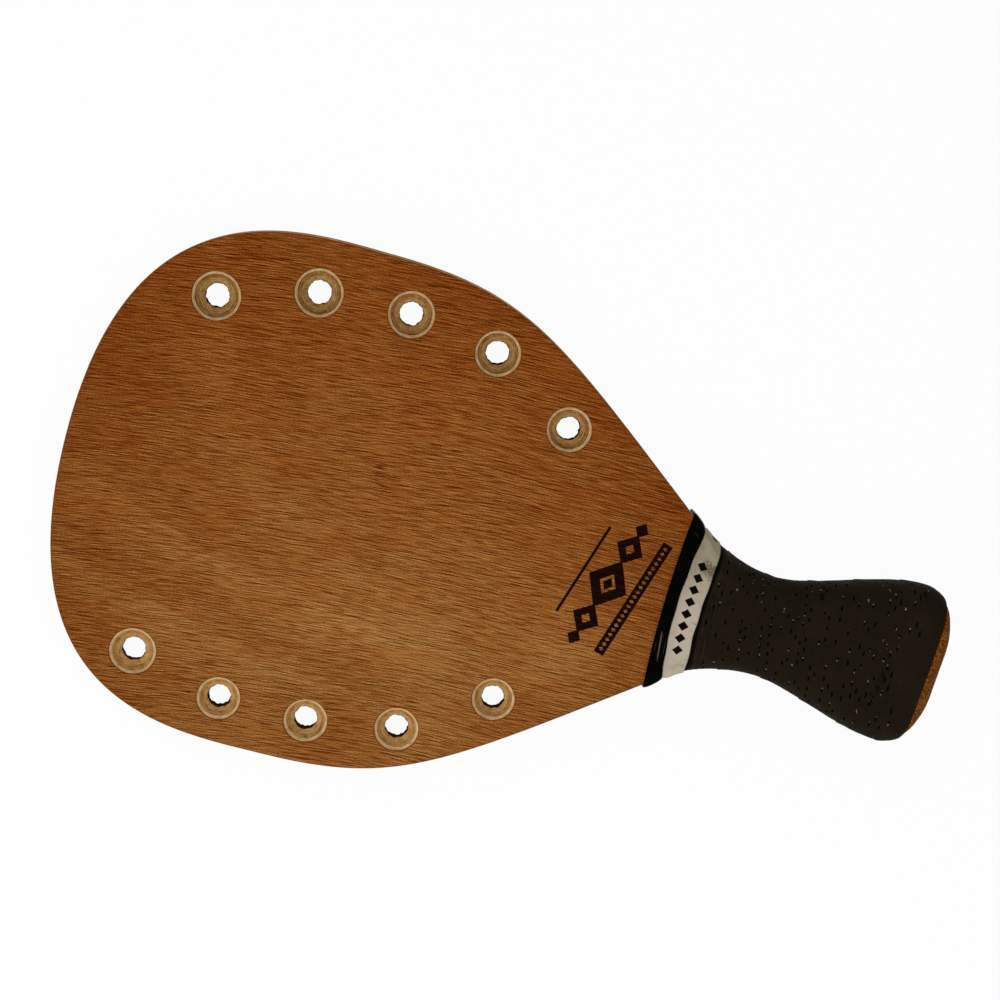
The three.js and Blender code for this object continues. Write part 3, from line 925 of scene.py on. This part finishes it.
def makeGrip(material):
    sheet, faces = refined(gripSheet())
    turn, along, height = sheet[:, 0] / grip["nominalTurn"], sheet[:, 1], sheet[:, 2]
    phase = ((along - grip["pitch"] * turn) / grip["pitch"]) % 1
    rise = 1 - grip["lapWidth"] / grip["pitch"]
    lap = np.where(phase > rise, (phase - rise) / (1 - rise), 1 - smoothStep(phase, 0, grip["lapFade"]))
    share = (along - gripStart) / (gripEnd - gripStart)
    sweep = sweepAt(grip, share)
    onTop = np.clip(1 + height / 0.8, 0, 1)  # 0 on the inside, which has no folds and no laps
    offset = grip["thickness"] + height + (lap - 0.4) * grip["lapHeight"] * onTop
    folds, crease = foldsAt(wrapPoints(along, turn % 1, offset, sweep))
    points = wrapPoints(along, turn % 1, offset + folds * onTop, sweep)
    pit, pale = pitTraits(sheet)
    mesh = meshFrom("woundGrip", points, faces, 75, pit=pit, pale=pale, crease=crease)
    return addObject(mesh, material)


def gripFinish():
    s = newFinish("perforatedGrip", 0.02)
    x, y, _ = s.place()
    leather = s.cells(s.at(2600), "DISTANCE_TO_EDGE")
    grime = s.cloud(s.at(60), 4, 0.6)
    mottle = s.cloud(s.at(1000), 3, 0.6) - 0.5
    pit, pale = s.trait("pit"), s.trait("pale")
    s.colour = grip["colour"]
    s.tint(grip["worn"], grime.between(0.35, 0.75) * 0.7)
    behind = x / mm - tipX - grip["tapeEdge"] - (y / mm) ** 2 * 0.0022  # behind the finishing tape
    # painted sheen: lighter streaks along the tape's rear edge, faint over the rest of the grip
    sheenStreaks = s.cloud((behind * 1.5 + y * 90, y * 45, 0), 1).between(0.52, 0.64)
    s.tint(grip["scuffAndSheen"], sheenStreaks * (behind.between(13, 3) * 0.4 + 0.06))
    # painted shadow of the finishing tape's edge on the overgrip
    s.tint(grip["hole"], behind.between(1.9, 0.6) * 0.9)
    # painted shade in the creases of the crumples and the edge lines
    s.tint(grip["hole"], s.trait("crease").between(0.1, 0.7) * 0.85)
    # painted shade in the pits
    s.tint(grip["hole"], pit.between(0.04, 0.2))
    # painted glint at one end of some pits
    s.tint(grip["glint"], pale.between(0.3, 0.7) * pit.between(0.16, 0.34))
    rough = 0.66 + mottle * 0.2 - grime.between(0.45, 0.7) * 0.08
    height = leather.between(0, 0.2) * 0.5 + mottle * 0.6
    return s.dress(rough, height, 0.00012, 0.5)


stand(makeGrip(gripFinish()), "overgrip")
print("overgrip made")


# Finishing tape

tape = {
    "lead": 8.4,
    "width": 10.9,
    "sweep": (3.3, 1.6),
    "thickness": 0.35,
    "lift": 1.55,  # its inside above the handle
    "around": 420,
    "across": 30,
    "colour": paint(178, 166, 148),
    "shadedSide": paint(146, 136, 113),
    "dirtAndShade": paint(96, 86, 68),
    "print": paint(5, 3, 2),
    "blotch": (0.284, 0.6, 0.009, 0.22),  # place round and across, and half the size, of a near-black spot
    "markCount": 30,  # places round the handle for the printed lozenges, which stand in groups
    "mark": (0.47, 0.4, 0.23),  # a lozenge's place across, half length and half width
    "groups": 2,
    "groupShift": 4 / 15,
    "groupShare": 8 / 15,  # of the places that are printed
    "crumple": 0.378,  # where on its turn the tape is most handled
    "tuckDepth": 1.3,  # how deep the front edge is pressed down beside the collar
    "tuckReach": 0.33,  # and over which share of the width
    "creases": (  # turn, slant, half width in turns, height in millimetres and where across it starts
        (0.367, 0.004, 0.0018, 0.6, 0.62),
        (0.375, 0.016, 0.003, 0.5, 0.55),
        (0.384, -0.01, 0.0026, 0.34, 0.6),
        (0.394, 0.014, 0.0026, 0.3, 0.62),
        (0.41, -0.012, 0.0024, 0.36, 0.72),
        (0.305, 0.03, 0.007, 0.16, 0.05),
        (0.53, 0.012, 0.0016, 0.24, 0.7),
        (0.536, -0.004, 0.0016, 0.28, 0.66),
        (0.543, -0.018, 0.0016, 0.22, 0.7),
        (0.572, 0.006, 0.0018, 0.2, 0.76),
        (0.601, -0.008, 0.002, 0.22, 0.74),
        (0.13, 0.02, 0.003, 0.3, 0.5),
        (0.86, -0.02, 0.003, 0.3, 0.5),
    ),
}


def tapeFolds(turn, across):  # creases, in millimetres
    fold = 0.06 * np.sin(turn * 37 + across * 2) * np.sin(turn * 91)
    for place, slant, width, height, begins in tape["creases"]:
        near = np.exp(-((turn - place - slant * (across - 0.5)) / width) ** 2)
        fold = fold + height * near * smoothStep(across, begins, begins + 0.25)
    return fold


def makeBand(name, band, profile, folds, material):  # a ring round the handle, closed both ways
    turns = np.linspace(0, 1, band["around"], endpoint=False)
    turn, step = np.meshgrid(turns, [place for place, _ in profile], indexing="ij")
    height = np.meshgrid(turns, [height for _, height in profile], indexing="ij")[1]
    wave = 0.35 * np.sin(turn * 23 + 1) * np.sin(turn * 41) * smoothStep(step, 0.6, 1)
    along = throatX - band["lead"] + band["width"] * step + wave
    offset = band["lift"] + height + folds(turn, step) * smoothStep(height, -0.01, 0.1)
    points = wrapPoints(along.ravel(), turn.ravel(), offset.ravel(), sweepAt(band, step).ravel())
    rings, count = turn.shape
    faces = [[i % (rings * count) for i in face] for face in loftFaces(rings + 1, count)]
    angle = turn.ravel() * 2 * math.pi
    mesh = meshFrom(name, points, faces, 50, turnSine=np.sin(angle), turnCosine=np.cos(angle),
                    across=step.ravel())
    return addObject(mesh, material)


def tapeFinish():
    s = newFinish("paleTape", 0.02)
    _, y, _ = s.place()
    soil = s.cloud(s.at(120), 4, 0.65)
    weave = s.cloud(s.at(2500, 900, 900), 2, 0.6) - 0.5
    turn, across = s.turn(), s.trait("across")
    s.colour = tape["colour"]
    # painted shade: darker and more olive towards +y, with a noisy border
    s.tint(tape["shadedSide"], (y * 40 + soil - 0.5).between(-0.2, 1))
    s.tint(tape["dirtAndShade"], soil.between(0.52, 0.8) * 0.45)
    blot = s.cloud(s.at(900), 3, 0.6)
    crumpled = (0.03 - (turn - tape["crumple"]).size()).between(0, 0.02) * across.between(0.38, 0.6)
    s.tint(tape["dirtAndShade"], crumpled * blot.between(0.4, 0.54) * 0.9)
    for place, slant, width, height, begins in tape["creases"]:
        valley = place + 1.2 * width  # the side of each crease that gets painted shade
        near = (1 - (turn - (across - 0.5) * slant - valley).size() / width).between(0.1, 0.9)
        near = near * across.between(begins, begins + 0.2)
        s.tint(tape["dirtAndShade"], near * min(1, height * 2.2))
    placeX, placeY, halfTurn, halfAcross = tape["blotch"]
    far = ((turn - placeX) / halfTurn) ** 2 + ((across - placeY) / halfAcross) ** 2
    blotch = (far + blot - 0.5).between(1, 0.6)
    # a near-black spot, in the print's colour
    s.tint(tape["print"], blotch * 0.9)
    # darker along both edges: dirt, and painted shade where the tape meets the collar and the overgrip
    edges = (across - 0.5).size().between(0.44, 0.5)
    s.tint(tape["dirtAndShade"], edges * 0.45)
    local = ((turn * tape["markCount"]).fraction() - 0.5).size()
    place, halfStep, halfWidth = tape["mark"]
    far = local / halfStep + (across - place).size() / halfWidth
    group = (turn * tape["groups"] + tape["groupShift"]).fraction()
    inGroup = (tape["groupShare"] - group).between(0, 0.002)
    s.tint(tape["print"], (1 - far).between(-0.05, 0.05) * inGroup)
    rough = 0.42 + soil * 0.2 + crumpled * 0.15
    return s.dress(rough, weave + soil * 2, 0.00005, 0.4)


def tapeProfile():
    steps = np.linspace(0, 1, tape["across"])
    drops = tape["tuckDepth"] * (1 - smoothStep(steps, 0, tape["tuckReach"]))
    outside = [(t, tape["thickness"] - drop) for t, drop in zip(steps, drops)]
    return outside + [(t, -drop) for t, drop in list(zip(steps, drops))[::-4]]


tapePiece = makeBand("finishingTape", tape, tapeProfile(), tapeFolds, tapeFinish())
stand(tapePiece, "finishing_tape")


# Throat collar

collar = {
    "lead": 14.4,
    "width": 6.2,
    "sweep": (1.7, 3.3),
    "thickness": 2.1,
    "lift": 0.1,
    "around": 420,
    "profileSteps": 22,
    "folds": ((0.3, 0.004, 0.35), (0.318, 0.003, 0.3), (0.287, 0.003, 0.28), (0.72, 0.005, 0.2)),
    "colour": paint(1, 1, 0),
    "scuffAndSheen": paint(8, 7, 5),
    "paintedHighlight": paint(112, 106, 80),
    "highlightPlace": (77.2, -22, 2.6, 8.5),  # along and across, and half the size, of the painted highlight
}  # folds have their turn, half width in turns and height


def collarFolds(turn, across):
    fold = 0.1 * np.sin(turn * 29 + 2) * np.sin(turn * 67 + across * 3)
    for place, width, height in collar["folds"]:
        near = np.exp(-((turn - place - 0.01 * across) / width) ** 2)
        fold = fold + height * near * np.sin(math.pi * across)
    return fold


def collarProfile():
    turns = np.linspace(0, math.pi, collar["profileSteps"])
    outside = [((1 - math.cos(t)) / 2, collar["thickness"] * max(0, math.sin(t)) ** 0.6) for t in turns]
    return outside + [(t, 0) for t in (0.75, 0.5, 0.25)]


def collarFinish():
    s = newFinish("glossyRubber", 0.012)
    x, y, _ = s.place()
    scuff = s.cloud(s.at(300, 90, 90), 3, 0.6)
    ripple = s.cloud(s.at(420, 60, 60), 2)
    lean = (x + y * 0.12) / mm
    streak = s.cloud((lean * 1.9, y * 30, 0), 1).between(0.48, 0.72)
    placeX, placeY, halfX, halfY = collar["highlightPlace"]
    paintedHighlight = (((lean - placeX) / halfX) ** 2 + ((y / mm - placeY) / halfY) ** 2).between(1, 0.1)
    rough = 0.16 + scuff.between(0.45, 0.8) * 0.22
    s.colour = collar["colour"]
    s.tint(collar["scuffAndSheen"], scuff.between(0.55, 0.85) * 0.6)
    # painted highlight: pale streaks at the collar's lower end, where a lamp's reflection would be
    s.tint(collar["paintedHighlight"], streak * paintedHighlight * 0.8)
    return s.dress(rough, ripple, 0.0003, 0.4)


collarPiece = makeBand("throatCollar", collar, collarProfile(), collarFolds, collarFinish())
stand(collarPiece, "throat_collar")
print("wrappings made")


# Floor, light and camera

stage = {
    "floorSize": 6,
    "floorColour": (0.82, 0.82, 0.82, 1),
    "glow": 0.95,  # share of plain white in what the camera sees of the floor
    "skyLight": 0.5,
    "lamps": (  # name, place, size and power
        ("keyLamp", (-0.7, -1.4, 1.9), 1.0, 32),
        ("fillLamp", (1.5, 1.2, 2.0), 1.6, 9),
        ("rimLamp", (-1.2, 1.6, 1.2), 0.9, 4),
    ),
    "camera": (-0.09303, 0.16827, 0.88522),
    "cameraTurn": (-10.21, -2.54, 15.597),
    "lens": 68.4,
    "nearest": 0.01,
    "gap": 0.00005,  # between the racket and the floor
}


def restingSlope():  # the floor leans so that the racket lies on its tip and the handle's underside
    tip = np.array((tipX + build["rimRadius"], -halfBoard)) * mm
    points = np.array([v.co[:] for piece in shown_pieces() for v in piece.data.vertices])
    far = points[points[:, 0] > 0]
    return tip, max(0, ((tip[1] - far[:, 2]) / (far[:, 0] - tip[0])).max())


def makeFloor():
    tip, slope = restingSlope()
    half = stage["floorSize"] / 2
    corners = [(x, y, tip[1] - slope * (x - tip[0]) - stage["gap"]) for x, y in
               ((-half, -half), (half, -half), (half, half), (-half, half))]
    mesh = bpy.data.meshes.new("floor")
    mesh.from_pydata(corners, [], [(0, 1, 2, 3)])
    uniform = {"Base Color": stage["floorColour"], "Roughness": 0.9, "Specular IOR Level": 0}
    s = Shader(bpy.data.materials.new("paleFloor"), "Principled BSDF", uniform)
    s.cover("Material Output", s.seen() * stage["glow"], "Emission")
    below = s.node("NewGeometry", {}, {}, "Backfacing")  # from under it the racket's back shows
    s.cover("Material Output", below, "BsdfTransparent")
    addObject(mesh, s.block)


def makeSky():
    world = bpy.data.worlds.new("studio")
    bpy.context.scene.world = world
    s = Shader(world, "Background", {"Color": (1, 1, 1, 1), "Strength": stage["skyLight"]})
    s.cover("World Output", s.seen(), "Emission")


def addLamp(name, place, size, power):
    light = bpy.data.lights.new(name, "AREA")
    light.shape = "DISK"
    light.size, light.energy = size, power
    lamp = link(name, light)
    lamp.location = place
    lamp.rotation_euler = (-Vector(place)).to_track_quat("-Z", "Y").to_euler()  # aims at the racket


def addCamera():
    lens = bpy.data.cameras.new("camera")
    lens.lens, lens.clip_start = stage["lens"], stage["nearest"]
    camera = link("camera", lens)
    camera.location = stage["camera"]
    camera.rotation_euler = [math.radians(angle) for angle in stage["cameraTurn"]]
    bpy.context.scene.camera = camera


makeFloor()
makeSky()
for lamp in stage["lamps"]:
    addLamp(*lamp)
addCamera()
bpy.context.scene.view_settings.view_transform = "Standard"
print("stage made")
